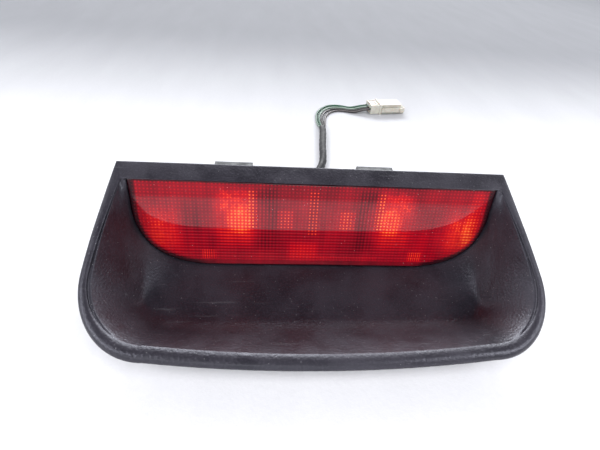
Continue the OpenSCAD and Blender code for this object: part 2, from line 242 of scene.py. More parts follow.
def plastic(name, light, dark, rough=(0.42, 0.58), grain=0.6, dust=0.35, grain_scale=1900.0,
            dirt=(0.42, 0.42, 0.43), **fixed):
    """Moulded plastic: fine grain, slow mottling, dust specks and faint rub marks."""
    n = Nodes(name)
    slow = n.noise(38.0, 4.0, 0.6)
    fine = n.noise(grain_scale, 2.0, 0.6)
    pits = n.add("TexVoronoi", props={"feature": "SMOOTH_F1"}, Scale=grain_scale * 0.8,
                 Vector=n.coord.outputs["Object"])
    rub = n.add("TexNoise", Scale=1.0, Detail=4.0, Vector=n.add(
        "Mapping", Vector=n.coord.outputs["Object"], Scale=(30.0, 420.0, 300.0)))
    marks = n.ramp(rub, 0.66, 0.74)
    dots = n.specks(330.0, 0.09)
    color = n.mix(n.ramp(slow, 0.3, 0.7), dark, light)
    color = n.mix(n.math("MULTIPLY", n.ramp(fine, 0.45, 0.72), 0.6), color,
                  tuple(1.7 * c for c in light) if light[0] < 0.2 else light)
    color = n.mix(n.math("MULTIPLY", dots, dust), color, dirt)
    color = n.mix(n.math("MULTIPLY", marks, 0.06), color, (0.35, 0.35, 0.36))
    value = n.math("ADD", n.ramp(slow, 0.3, 0.7, *rough), n.math("MULTIPLY", marks, 0.08))
    height = n.math("ADD", n.math("MULTIPLY", pits, 0.7), n.math("MULTIPLY", fine, 0.5))
    normal = n.bump(height, grain, 0.17 / grain_scale)
    return n.finish(color, value, normal, **fixed)


def metal(name, tone, rough=(0.25, 0.45), scratch=0.3):
    """Rolled or plated metal: directional scratches, blotches and slight tarnish."""
    n = Nodes(name)
    blot = n.noise(160.0, 4.0, 0.6)
    lines = n.add("TexNoise", Scale=1.0, Detail=3.0, Vector=n.add(
        "Mapping", Vector=n.coord.outputs["Object"], Scale=(3500.0, 180.0, 900.0)))
    color = n.mix(n.ramp(blot, 0.35, 0.75), tone, tuple(c * 0.72 for c in tone))
    value = n.math("ADD", n.ramp(blot, 0.3, 0.7, *rough), n.math("MULTIPLY", lines, 0.08))
    return n.finish(color, value, n.bump(lines, scratch, 0.00004), Metallic=1.0)


# ---------------------------------------------------------------- cover

HALF = 125.0  # half the width of the cover
TOP_HALF = 120.5  # half the width of its top edge
STRIP_S = 117.0  # rear edge of the strip above the lens, in the rim frame
LENS_HALF = 112.5
LENS_GAP = 0.35  # joint between lens and cover
MOUTH_S = REACH + 0.4  # edge of the strip at the lens
MOUTH_TOP_HALF = 115.5
LEAST_CROWN = 0.12
UNDERSIDE = -4.0  # underside of the rim band, in the rim frame

# lower corners of the lens: straight up to CORNER_X, then a superellipse
CORNER_X, CORNER_W, CORNER_H = 49.5, 62.5, 38
CORNER_POWER = 10 / 3

# front corners of the rim: quarter ellipse, from the slightly bowed lip
RIM_CORNER_W, RIM_CORNER_S, LIP_BOW = 37.5, 48, 4.4


def lens_edge(p, g):
    """Lens outline in the lens frame, grown by g: p 0-1 bottom, 1-2 corner, 2-3 side."""
    grow = (LENS_H + 2 * g) / LENS_H
    if p <= 1:
        return CORNER_X * p, -g
    if p <= 2:
        w = math.sin(math.radians(90 * (p - 1)))
        fall = math.sqrt(max(0.0, 1 - w ** CORNER_POWER))
        return CORNER_X + (CORNER_W + g) * w, -g + CORNER_H * grow * (1 - fall)
    z0 = -g + CORNER_H * grow
    return LENS_HALF - 0.5 + g + 0.5 * (p - 2), z0 + (LENS_H + g - z0) * (p - 2)


def rim_edge(m, side, low, top):
    """Rim outline in the rim frame: m 0-1 lip, 1-2 corner, 2-3 side up to its top.

    side and low move it in from the side and up from the lip, top is where it ends.
    """
    flat = HALF - RIM_CORNER_W
    if m <= 1:
        return flat * m, low + LIP_BOW * m * m
    if m <= 2:
        a = math.radians(90 * (2 - m))
        return (flat + (RIM_CORNER_W - side) * math.cos(a),
                RIM_CORNER_S - (RIM_CORNER_S - LIP_BOW - low) * math.sin(a))
    t = 3 - m
    x = TOP_HALF + (HALF - TOP_HALF) * math.sin(math.radians(90 * t)) - side
    return x, top + (RIM_CORNER_S - top) * t


# stations round the bowl: lens share, rim share, rear and front knee of the section
STATIONS = [
    (0.00, 0.000, (0, -1.5, 0), (0, -46, 0)),
    (1.00, 0.686, (50.5, -1.5, 0), (60, -45.2, 0)),
    (1.29, 1.090, (78, -9, 0), (84, -43.8, 0)),
    (1.52, 1.360, (93, -18, 0), (94.5, -41, 0)),
    (1.74, 1.720, (100, -24.5, 0.3), (100.8, -36, 0.3)),
    (2.00, 2.230, (104.2, -22, 7), (104.6, -30, 7)),
    (2.44, 2.660, (113.6, 2, 30), (115.2, -5, 30)),
    (3.00, 3.000, (113.9, 17.3, 53), (114.8, 17.3, 53.1)),
]
KNOTS = np.array([0, 0.23, 0.345, 0.44, 0.55, 0.69, 0.86, 1.0])  # share u of each station
COLUMNS_SIDE = 110
COLUMNS_TOP = 60
INNER_ROWS = (10, 22, 22)  # rows from lens to rear knee, to front knee, to mouth


def smooth_step(t):
    """0 below 0, 1 above 1, smooth between."""
    t = min(1.0, max(0.0, t))
    return t * t * (3 - 2 * t)


def station_at(u):
    """Section parameters at u from 0 (middle of the lip) to 1 (top corner), without overshoot."""
    rows = [np.array([s[0], s[1], *s[2], *s[3]], float) for s in STATIONS]
    i = min(int(np.searchsorted(KNOTS, u, side="right")) - 1, len(rows) - 2)
    h = KNOTS[i + 1] - KNOTS[i]
    t = (u - KNOTS[i]) / h

    def slope(k):
        if k == 0 or k == len(rows) - 1:
            j = 0 if k == 0 else len(rows) - 2
            return (rows[j + 1] - rows[j]) / (KNOTS[j + 1] - KNOTS[j])
        d0 = (rows[k] - rows[k - 1]) / (KNOTS[k] - KNOTS[k - 1])
        d1 = (rows[k + 1] - rows[k]) / (KNOTS[k + 1] - KNOTS[k])
        safe = np.where(np.abs(d0 + d1) < 1e-9, 1.0, d0 + d1)
        return np.where(d0 * d1 > 0, 2 * d0 * d1 / safe, 0.0)

    m0, m1 = slope(i) * h, slope(i + 1) * h
    r = ((2 * t**3 - 3 * t**2 + 1) * rows[i] + (t**3 - 2 * t**2 + t) * m0
         + (-2 * t**3 + 3 * t**2) * rows[i + 1] + (t**3 - t**2) * m1)
    return r[0], r[1], r[2:5], r[5:8]


def columns():
    """Right half, from the middle of the lip to the middle of the top strip.

    lip and top are the shares of the lip bead and of the top strip in the band, sweep the
    share of the smooth side wall, crown the height of the band's rounding.
    """
    out = []
    for i in range(COLUMNS_SIDE + 1):
        u = i / COLUMNS_SIDE
        p, m, k1, k2 = station_at(u)
        out.append({"lens": lens_edge(p, LENS_GAP), "mouth": rim_edge(m, 5, 8, MOUTH_S),
                    "outer": rim_edge(m, 0, 0, STRIP_S), "k1": k1, "k2": k2,
                    "lip": smooth_step((2.0 - m) / 0.85), "top": 0.0,
                    "sweep": smooth_step((u - 0.42) / 0.2),
                    "crown": min(1.0, max(LEAST_CROWN, (2.98 - m) / 0.45))})
    for i in range(1, COLUMNS_TOP + 1):
        f = 1 - i / COLUMNS_TOP
        lens, mouth = ((LENS_HALF + LENS_GAP) * f, LENS_H + LENS_GAP), (MOUTH_TOP_HALF * f, MOUTH_S)
        a, b = lens_pt(lens[0], 0, lens[1]), rim_pt(*mouth, -0.3)
        out.append({"lens": lens, "mouth": mouth, "outer": (TOP_HALF * f, STRIP_S),
                    "k1": a + (b - a) / 3, "k2": a + (b - a) * 2 / 3, "sweep": 0.0, "lip": 0.0,
                    "top": 1.0, "crown": LEAST_CROWN * f**12})
    return out


def bowl_rows(c):
    """Polyline of the bowl from the lens edge over the knees to the mouth."""
    start = lens_pt(c["lens"][0], 0, c["lens"][1])
    end = rim_pt(*c["mouth"], -1.6 * c["lip"] - 0.5)
    corners = [start, c["k1"], c["k2"], end]
    pts = []
    for a, b, rows in zip(corners, corners[1:], INNER_ROWS):
        pts += [a + (b - a) * j / rows for j in range(rows)]
    pts.append(end)
    # the side walls are one smooth sweep through the knees
    c1, c2 = start + (c["k1"] - start) * 4 / 3, end + (c["k2"] - end) * 4 / 3
    for i, p in enumerate(pts):
        t = i / (len(pts) - 1)
        q = (1 - t)**3 * start + 3 * t * (1 - t)**2 * c1 + 3 * t * t * (1 - t) * c2 + t**3 * end
        pts[i] = p + (q - p) * c["sweep"]
    return pts


def band_rows(c):
    """Cove, bead or band, outer edge and underside, from the mouth outwards."""
    m, o = np.array(c["mouth"]), np.array(c["outer"])
    w = np.linalg.norm(o - m)
    d = (o - m) / w
    bead = []
    for q in [0.01, 0.03, 0.06, 0.1, 0.16, 0.24, 0.34, 0.46, 0.58, 0.7, 0.8, 0.88, 0.94, 0.98]:
        rise = math.sin(math.pi * min(1.0, q / 0.62) / 2) ** 0.8
        drop = max(0.0, q - 0.5) / 0.5
        bead.append((q * w, -2.1 + 2.1 * rise - 1.9 * drop**2.6))
    edge = min(1.1, w * 0.25)
    if c["top"] > 0:
        start = [(0.0, -0.55), (0.02, -0.38), (0.08, -0.2), (0.2, -0.08), (0.4, -0.02), (0.7, 0.0)]
    else:
        start = [(0.12, -0.62), (0.3, -0.74), (0.5, -0.62), (0.66, -0.3), (0.95, -0.1), (1.5, 0.0)]
    flat = start + [(start[-1][0] + (w - edge - start[-1][0]) * t, 0.0) for t in (0.33, 0.66, 1.0)]
    flat += [(w - edge + edge * math.sin(a), -edge * (1 - math.cos(a)))
             for a in np.radians([18, 36, 54, 72, 86])]
    crown = c["crown"]
    flat = [(x, n - 1.15 * crown * (abs(x / w - 0.42) / 0.58) ** 2.2) for x, n in flat]
    k = c["lip"]
    prof = [(k * a + (1 - k) * b, k * x + (1 - k) * y) for (a, x), (b, y) in zip(bead, flat)]
    prof += [(w, -2.15), (w, -3.2), (w - 0.15, -3.7), (w - 0.6, UNDERSIDE)]
    inner = 3.2 if c["top"] == 0 else 1.2
    prof += [(w - 0.6 - (w - 0.6 - inner) * t, UNDERSIDE) for t in (0.35, 0.7, 1.0)]
    return [rim_pt(m[0] + d[0] * a, m[1] + d[1] * a, n) for a, n in prof]


def smooth_rows(grid, rounds, mask):
    """Relaxes inner rows of a mirrored half grid, keeping the first and last row."""
    g = grid.copy()
    for _ in range(rounds):
        left = np.concatenate([g[1:2] * MIRROR, g[:-1]])
        right = np.concatenate([g[1:], g[-2:-1] * MIRROR])
        mean = (left + right) / 4
        mean[:, 1:-1] += (g[:, :-2] + g[:, 2:]) / 4
        g[:, 1:-1] += (0.5 * (mean - g) * mask[:, None, None])[:, 1:-1]
    return g


LOW_LEVEL, HIGH_LEVEL = 1.0, 53.0  # levels cut by convex_walls, 1 mm apart
FIRST_Y, LAST_Y, Y_STEP = -80.0, 20.0, 0.5


def convex_walls(g):
    """Pushes the side walls of the half grid out to the convex outline of each level.

    Points further than 7.5 mm inside belong to the ramp or the floor of the bowl and stay.
    """
    p = np.concatenate([g[:, :-1].reshape(-1, 3), g[:-1].reshape(-1, 3)])
    q = np.concatenate([g[:, 1:].reshape(-1, 3), g[1:].reshape(-1, 3)])
    levels, ys = np.arange(LOW_LEVEL, HIGH_LEVEL), np.arange(FIRST_Y, LAST_Y, Y_STEP)
    table = []
    for z in levels:
        cut = (p[:, 2] - z) * (q[:, 2] - z) < 0
        t = (z - p[cut, 2]) / (q[cut, 2] - p[cut, 2])
        r = p[cut] + (q[cut] - p[cut]) * t[:, None]
        hull = []
        for y, x in sorted((float(v[1]), float(v[0])) for v in r):
            while len(hull) > 1 and ((hull[-1][0] - hull[-2][0]) * (x - hull[-2][1])
                                     >= (hull[-1][1] - hull[-2][1]) * (y - hull[-2][0])):
                hull.pop()
            hull.append((y, x))
        table.append(np.interp(ys, [h[0] for h in hull], [h[1] for h in hull]))
    table = np.array(table)
    f = np.clip(g[:, :, 2] - LOW_LEVEL, 0, len(levels) - 1.001)
    h = np.clip((g[:, :, 1] - FIRST_Y) / Y_STEP, 0, len(ys) - 1.001)
    i, j = f.astype(int), h.astype(int)
    f, h = f - i, h - j
    x = ((table[i, j] * (1 - h) + table[i, j + 1] * h) * (1 - f)
         + (table[i + 1, j] * (1 - h) + table[i + 1, j + 1] * h) * f)
    gap = np.maximum(0.0, x - g[:, :, 0])
    share = np.clip((7.5 - gap) / 3.5, 0, 1) * np.clip((g[:, :, 2] - LOW_LEVEL) / 5.0, 0, 1)
    side = np.clip((COLUMNS_SIDE - np.arange(len(g))) / 6.0, 0, 1)
    out = g.copy()
    out[:, 1:-1, 0] += (gap * share * side[:, None])[:, 1:-1]
    return out


def grid_normals(g):
    """Unit normals of a mirrored half grid."""
    du = np.gradient(g, axis=0)
    du[0] = g[1] - g[1] * MIRROR
    dv = np.gradient(g, axis=1)
    n = np.cross(du, dv)
    return n / np.maximum(np.linalg.norm(n, axis=2), 1e-9)[:, :, None]


def cover_mesh(mat):
    """The cover as one closed loft: each section runs round the wall of the bowl and the rim."""
    cols = columns()
    inner = np.array([bowl_rows(c) for c in cols])
    mask = np.array([1.0] * (COLUMNS_SIDE - 4) + [0.5, 0.3, 0.15, 0.05]
                    + [0.0] * (COLUMNS_TOP + 1))
    inner = smooth_rows(convex_walls(smooth_rows(inner, 70, mask)), 22, mask)
    normal = grid_normals(inner)
    if normal[5, 20, 2] > 0:
        normal = -normal
    rows = inner.shape[1]
    share = np.linspace(0, 1, rows)
    wall = 3.0 + np.minimum(1.0, 5.6 * share * (1 - share))
    outer = inner + normal * wall[None, :, None]
    outer[:, :, 2] = np.maximum(outer[:, :, 2], -STAND[2])
    sections = []
    for c, i_row, o_row in zip(cols, inner, outer):
        x, z = c["lens"]
        front = [lens_pt(x, y, z) for y in (5.5, 2.5, 0.8)] + list(i_row) + band_rows(c)
        if c["top"] > 0 or c is cols[COLUMNS_SIDE]:
            # top strip: straight back from its underside to the lens
            mx, my = c["mouth"]
            near, last = rim_pt(mx, my + 0.2, UNDERSIDE - 0.6), lens_pt(x, 6.2, z + 0.9)
            rear = [rim_pt(mx, my + 1.0, UNDERSIDE)] + [near + (last - near) * t for t in share]
        else:
            o = list(o_row[::-1])
            o[-1] = lens_pt(x, 5.9, z) + (o_row[0] - i_row[0]) * 0.9
            rear = [front[-1] + (o[0] - front[-1]) * 0.5] + o
        sections.append(front + rear)
    grid = np.array(sections)
    grid[:, :, 2] = np.maximum(grid[:, :, 2], 0.1 - STAND[2])
    n_rows = grid.shape[1]
    ring = list(grid) + [g * MIRROR for g in grid[-2:0:-1]]
    verts = [V(p) for col in ring for p in col]
    total = len(ring)
    faces = []
    for i in range(total):
        j = (i + 1) % total
        for k in range(n_rows):
            q = (k + 1) % n_rows
            faces.append((i * n_rows + k, j * n_rows + k, j * n_rows + q, i * n_rows + q))
    return mesh_object("cover_shell", verts, faces, mat)


# ---------------------------------------------------------------- cords: routes of part.scad

LEADS = {
    "left_green": [(-55, 66.1, 16.1), (-55, 73.6, 13.6), (-54, 80, 9.5), (-51, 86, 5),
                   (-44, 90, 1.6), (-30, 92, 1.1), (-15, 92.2, 1.1), (-3.5, 93.2, 1.1),
                   (2.6, 96.8, 1.8), (4.7, 102, 2.7)],
    "left_black": [(-49, 66.1, 16.1), (-49, 73.6, 13.6), (-48, 79, 9.5), (-45, 84, 5),
                   (-38, 87.2, 1.6), (-26, 88.5, 1.1), (-12, 88.6, 1.1), (-1.5, 89.8, 2.2),
                   (3.6, 94.6, 4.6), (4.7, 102, 5.3)],
    "right_green": [(49, 66.1, 16.1), (49, 73.6, 13.6), (49, 79, 9.5), (46, 84.5, 5),
                    (39, 88, 1.6), (28, 88.8, 1.1), (19, 89.2, 1.1), (11.5, 91, 2.2),
                    (8, 95.2, 4.6), (7.3, 102, 5.3)],
    "right_black": [(55, 66.1, 16.1), (55, 73.6, 13.6), (55, 80, 9.5), (52, 86.5, 5),
                    (45, 90.8, 1.6), (32, 92.2, 1.1), (21, 92.6, 1.1), (13.5, 94, 1.1),
                    (9, 97.2, 1.8), (7.3, 102, 2.7)],
}
TAPE = [(6, 102, 4), (9, 114, 4), (14, 126, 4), (18.5, 139, 4), (20.5, 153, 4),
        (21.5, 168, 4), (23, 183, 4), (24.5, 197, 4), (25, 210, 4)]
ENDS = {
    "left_green": [(23.7, 210, 2.7), (21.5, 222, 1.4), (21, 236, 1.1), (23, 251, 1.1),
                   (29.5, 265, 1.1), (40, 274.5, 1.1), (53, 275.5, 1.1), (65, 270.5, 2.1),
                   (77, 269.6, 5.1), (84.96, 270.91, 6)],
    "right_green": [(23.7, 210, 5.3), (23.3, 223, 3), (23.6, 236, 1.4), (26, 249, 1.1),
                    (32, 261.5, 1.1), (42, 269.5, 1.1), (54, 270.5, 1.1), (66, 266, 2.1),
                    (77.7, 265.6, 5.1), (85.65, 266.97, 6)],
    "left_black": [(26.3, 210, 5.3), (26.5, 223, 3), (27, 236, 1.4), (29.3, 247.5, 1.1),
                   (35, 258, 1.1), (44, 265, 1.1), (55, 265.8, 1.1), (66.8, 261.8, 2.1),
                   (78.4, 261.6, 5.1), (86.35, 263.03, 6)],
    "right_black": [(26.3, 210, 2.7), (29, 222, 1.4), (30.5, 234, 1.1), (33, 245, 1.1),
                    (38.5, 254.5, 1.1), (46.5, 260.5, 1.1), (56, 261.2, 1.1), (67.5, 257.6, 2.1),
                    (79.1, 257.7, 5.1), (87.04, 259.09, 6)],
}
END_NODE = {"left_green": "plug_wire_green_1", "right_green": "plug_wire_green_2",
            "left_black": "plug_wire_black_1", "right_black": "plug_wire_black_2"}
WIRE_D = 2.2
TAPE_LENGTH = 0.1137  # the values of the winding are in metres
TAPE_PITCH = 0.0088
TAPE_STEP = 0.00042
TAPE_EDGE = 0.93  # share of a turn at which the tape steps down again


def wire_material(name, tone, stripe):
    """Soft PVC sleeve with a printed stripe along it and slight waviness."""
    n = Nodes(name)
    around = n.add("SeparateXYZ", out=1, Vector=n.coord.outputs["UV"])
    off = n.math("ABSOLUTE", n.math("SUBTRACT", around, 0.3))
    line = n.ramp(off, 0.055, 0.035)
    grime = n.noise(420.0, 3.0)
    color = n.mix(n.ramp(grime, 0.3, 0.8), tone, tuple(c * 0.6 for c in tone))
    color = n.mix(n.math("MULTIPLY", line, 0.9), color, stripe)
    value = n.ramp(grime, 0.3, 0.8, 0.32, 0.5)
    return n.finish(color, value, n.bump(n.noise(900.0, 2.0), 0.25, 0.0001))


def tape_material():
    """Cloth tape: woven ribs across the turns, glue gloss and lint."""
    n = Nodes("tape_cloth")
    along, around = n.add("SeparateXYZ", Vector=n.coord.outputs["UV"]).node.outputs[:2]
    warp = n.math("SINE", n.math("MULTIPLY", around, 190.0))
    weft = n.math("SINE", n.math("MULTIPLY", along, 9000.0))
    weave = n.math("ADD", n.math("MULTIPLY", warp, 0.5), n.math("MULTIPLY", weft, 0.5))
    blot = n.noise(220.0, 4.0, 0.6)
    color = n.mix(n.ramp(blot, 0.3, 0.75), (0.005, 0.005, 0.006), (0.017, 0.017, 0.02))
    color = n.mix(n.math("MULTIPLY", n.specks(500.0, 0.1), 0.4), color, (0.3, 0.3, 0.3))
    value = n.ramp(blot, 0.3, 0.7, 0.45, 0.65)
    return n.finish(color, value, n.bump(weave, 0.35, 0.0001), Specular_IOR_Level=0.3)


def full_route(key):
    """One wire from its socket through the tape to the plug."""
    lead, end = [np.array(p, float) for p in LEADS[key]], [np.array(p, float) for p in ENDS[key]]
    a = lead[-1] - np.array(TAPE[0], float)
    b = end[0] - np.array(TAPE[-1], float)
    inner = []
    for i, p in enumerate(TAPE[1:-1], 1):
        t = i / (len(TAPE) - 1)
        inner.append(np.array(p, float) + a * (1 - t) + b * t)
    path = spline(lead + inner + end, 2.0)
    path[:, 2] = np.maximum(path[:, 2], WIRE_D / 2)
    return path * MM


def tape_radius(length, angle):
    """Wound tape: each turn steps up to its edge, thicker near the lamp, rounded ends."""
    turn = (length / TAPE_PITCH + angle / (2 * math.pi)) % 1.0
    step = TAPE_STEP * (turn if turn < TAPE_EDGE else (1 - turn) / (1 - TAPE_EDGE))
    base = 0.0031 + 0.0002 * math.cos(3 * angle + 40 * length)
    base += 0.0004 * max(0.0, 1 - length / 0.03)
    ends = min(1.0, length / 0.002, max(0.0, TAPE_LENGTH - length) / 0.0015)
    return (base + step) * (0.8 + 0.2 * ends)


green = wire_material("wire_green", (0.006, 0.07, 0.03), (0.45, 0.52, 0.46))
brown = wire_material("wire_black", (0.02, 0.015, 0.015), (0.1, 0.08, 0.075))
tape_path = spline(TAPE, 0.7) * MM
tape = tube_mesh("tape_winding", tape_path, tape_radius, tape_material(), sides=56)
finish_piece(tape, "lamp", "tape_black", "harness_tape")
wires, routes = {}, {}
for key in LEADS:
    routes[key] = full_route(key)
    wires[key] = tube_mesh("wire_" + key, routes[key], WIRE_D * MM / 2,
                           green if "green" in key else brown)
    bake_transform(wires[key])
    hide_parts("lead_" + key, END_NODE[key])


# ---------------------------------------------------------------- plug

def bevel(ob, width, segments=3, angle=30):
    mod = ob.modifiers.new("bevel", "BEVEL")
    mod.width, mod.segments, mod.limit_method = width * MM, segments, "ANGLE"
    mod.angle_limit = math.radians(angle)
    mod.harden_normals = True
    return ob


def dress(mat, width, *nodes):
    """Gives CAD nodes a material, and a bevel of that width in millimetres."""
    for node in nodes:
        NODES[node].data.materials.clear()
        NODES[node].data.materials.append(mat)
        if width:
            bevel(NODES[node], width)


def nylon(name, light, dark):
    """Slightly translucent cream nylon with handling grime and moulding haze."""
    n = Nodes(name)
    blot = n.noise(120.0, 4.0, 0.6)
    fine = n.noise(2400.0, 2.0)
    color = n.mix(n.ramp(blot, 0.3, 0.75), light, dark)
    color = n.mix(n.math("MULTIPLY", n.specks(420.0, 0.07), 0.5), color, (0.25, 0.22, 0.18))
    value = n.ramp(blot, 0.3, 0.7, 0.36, 0.52)
    return n.finish(color, value, n.bump(fine, 0.25, 0.00008), Subsurface_Weight=0.15,
                    Subsurface_Scale=0.003)


ivory = nylon("plug_nylon", (0.5, 0.485, 0.425), (0.4, 0.375, 0.31))
pink = nylon("lock_nylon", (0.5, 0.36, 0.33), (0.38, 0.26, 0.235))
brass = metal("terminal_brass", (0.62, 0.43, 0.18), (0.22, 0.4))

dress(ivory, 0.35, "plug_housing")
dress(ivory, 0.25, "plug_latch")
dress(pink, 0.2, "plug_wire_lock")
dress(brass, 0.0, "plug_terminals")


# ---------------------------------------------------------------- cover pieces

cover_mat = plastic("cover_plastic", (0.02, 0.0175, 0.0235), (0.0085, 0.0072, 0.0105),
                    rough=(0.34, 0.48), grain=1.0, grain_scale=1000.0,
                    Specular_Tint=(0.86, 0.88, 1.0, 1))
finish_piece(cover_mesh(cover_mat), "lamp", "cover_black", "hood_cover")

SCREWS = [(107, 9), (119, 46)]  # x and z in the lens frame, on both sides
CLIPS = (-53, 39)
CLIP_W = 24


def plain_pt(x, y, z):
    """Point of the shape frame."""
    return np.array([x, y, z], float)


def add_prism(mesh, outline, place):
    """Adds a prism to mesh = (verts, faces): outline is the lower loop then the upper loop."""
    verts, faces = mesh
    n, half = len(verts), len(outline) // 2
    verts += [V(place(*q)) for q in outline]
    faces.append(tuple(n + k for k in reversed(range(half))))
    faces.append(tuple(n + half + k for k in range(half)))
    for k in range(half):
        j = (k + 1) % half
        faces.append((n + k, n + j, n + half + j, n + half + k))


def add_box(mesh, lo, hi, place=plain_pt):
    """Adds a box to mesh, from its lowest to its highest corner."""
    loop = ((lo[0], lo[1]), (hi[0], lo[1]), (hi[0], hi[1]), (lo[0], hi[1]))
    add_prism(mesh, [(x, y, z) for z in (lo[2], hi[2]) for x, y in loop], place)


def add_lathe(mesh, profile, place, sides=40):
    """Adds a turned solid: profile is (radius, height), starting and ending on the axis."""
    verts, faces = mesh
    n, rows = len(verts), len(profile) - 2
    verts += [V(place(0, profile[0][1], 0)), V(place(0, profile[-1][1], 0))]
    for k in range(sides):
        a = 2 * math.pi * k / sides
        verts += [V(place(r * math.cos(a), h, r * math.sin(a))) for r, h in profile[1:-1]]
    for k in range(sides):
        i, j = n + 2 + k * rows, n + 2 + (k + 1) % sides * rows
        faces.append((n, j, i))
        faces += [(i + q, j + q, j + q + 1, i + q + 1) for q in range(rows - 1)]
        faces.append((n + 1, i + rows - 1, j + rows - 1))


def cover_fittings(mat):
    """Collar round the lens, screw bosses, side lugs, rear wall and blades for the clips."""
    mesh = ([], [])
    verts, faces = mesh
    parts = 90  # along each half of the collar
    for e in (-1, 1):
        n = len(verts)
        for k in range(parts + 1):
            for g, y in ((0.7, 1.0), (4.8, 1.0), (4.8, 2.5), (0.7, 2.5)):
                x, z = lens_edge(3 * k / parts, g)
                q = lens_pt(e * x, y, min(z, 55.0))
                q[2] = max(q[2], 0.3 - STAND[2])
                verts.append(V(q))
        for k in range(parts):
            for a in range(4):
                b = (a + 1) % 4
                quad = (n + 4 * k + a, n + 4 * k + b, n + 4 * k + 4 + b, n + 4 * k + 4 + a)
                faces.append(quad[::e])
        faces.append(tuple(range(n + 4 * parts, n + 4 * parts + 4))[::e])
        add_box(mesh, (e * 117.2 - 3.8, 0.9, 38), (e * 117.2 + 3.8, 2.3, 52), lens_pt)
        for x, z in SCREWS:
            add_lathe(mesh, [(0, 1.2), (3.6, 1.2), (3.6, 14.6), (3.25, 15), (2.1, 15), (1.75, 14.6),
                             (1.75, 4), (0, 4)],
                      lambda a, h, b, x=x, z=z: lens_pt(e * x + a, h, z + b))
    half = TOP_HALF - 2
    add_box(mesh, (-half, 26.3, 49), (half, 28.7, 55.6))
    for x in CLIPS:
        w = CLIP_W / 2 - 2
        add_box(mesh, (x - w, 27, 49.2), (x + w, 41.2, 51))
        for e in (-1, 1):
            c = x + e * (CLIP_W / 2 - 3)
            side = [(28, 50.4), (33.5, 50.4), (33.5, 51.4), (29.2, 55.4), (28, 55.4)]
            add_prism(mesh, [(c + d, y, z) for d in (-1, 1) for y, z in side], plain_pt)
    return bevel(mesh_object("cover_fittings", verts, faces, mat), 0.22, 2)


finish_piece(cover_fittings(cover_mat), "lamp", "cover_black", "hood_cover")


# ---------------------------------------------------------------- lens

